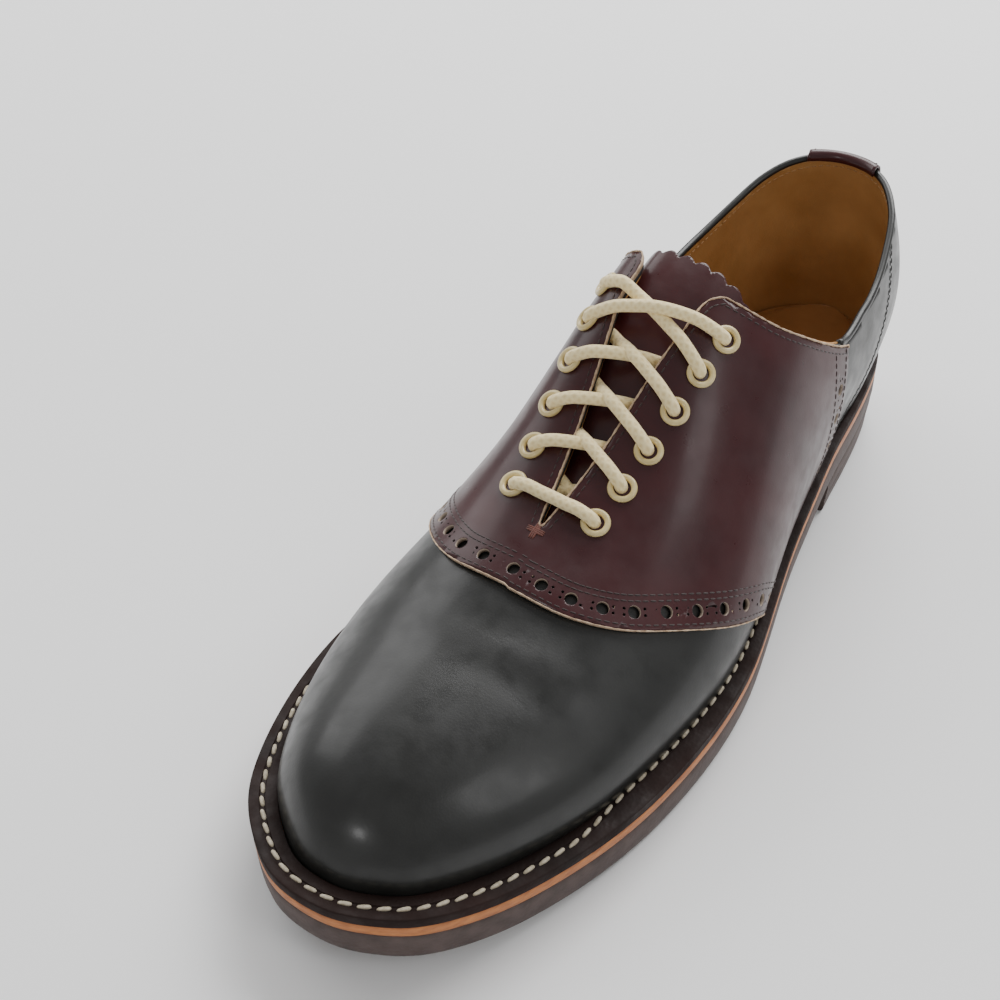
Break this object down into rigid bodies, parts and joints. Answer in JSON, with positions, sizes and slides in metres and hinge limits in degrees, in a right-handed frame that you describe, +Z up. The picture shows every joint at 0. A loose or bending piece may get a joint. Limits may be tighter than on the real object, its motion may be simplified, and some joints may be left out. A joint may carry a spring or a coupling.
{
  "type": "saddle shoe",
  "caption": "Left round-toed lace-up saddle shoe: hollow leather upper with a contrasting saddle, tongue and round laces, on a welted sole with a low heel.",
  "frame": {"origin": "on the floor under the middle of the sole's length and width", "axes": "+Z up, +Y towards the heel, +X towards the outer (lateral) side of the left foot"},
  "size_m": [0.1058, 0.2913, 0.1017],
  "materials": {
    "black_leather": "semi-gloss polished black calf",
    "burgundy_leather": "glossy burgundy leather",
    "tan_leather": "smooth tan lining leather",
    "welt_leather": "dark brown waxed leather",
    "midsole_leather": "natural orange-tan edge",
    "sole_rubber": "matte dark brown rubber",
    "eyelet_enamel": "cream enamel",
    "lace_cotton": "waxed beige cotton cord"
  },
  "bodies": {
    "root": {"upper": "black_leather", "saddle": "burgundy_leather", "heel_tab": "burgundy_leather", "tongue": "burgundy_leather", "insole": "tan_leather", "welt": "welt_leather", "midsole": "midsole_leather", "outsole": "sole_rubber", "heel": "sole_rubber", "eyelet_lat_1": "eyelet_enamel", "eyelet_lat_2": "eyelet_enamel", "eyelet_lat_3": "eyelet_enamel", "eyelet_lat_4": "eyelet_enamel", "eyelet_lat_5": "eyelet_enamel", "eyelet_lat_6": "eyelet_enamel", "eyelet_med_1": "eyelet_enamel", "eyelet_med_2": "eyelet_enamel", "eyelet_med_3": "eyelet_enamel", "eyelet_med_4": "eyelet_enamel", "eyelet_med_5": "eyelet_enamel", "eyelet_med_6": "eyelet_enamel", "lace_bar_1": "lace_cotton", "lace_cross_2": "lace_cotton", "lace_cross_3": "lace_cotton", "lace_cross_4": "lace_cotton", "lace_cross_top": "lace_cotton"}
  },
  "joints": []
}
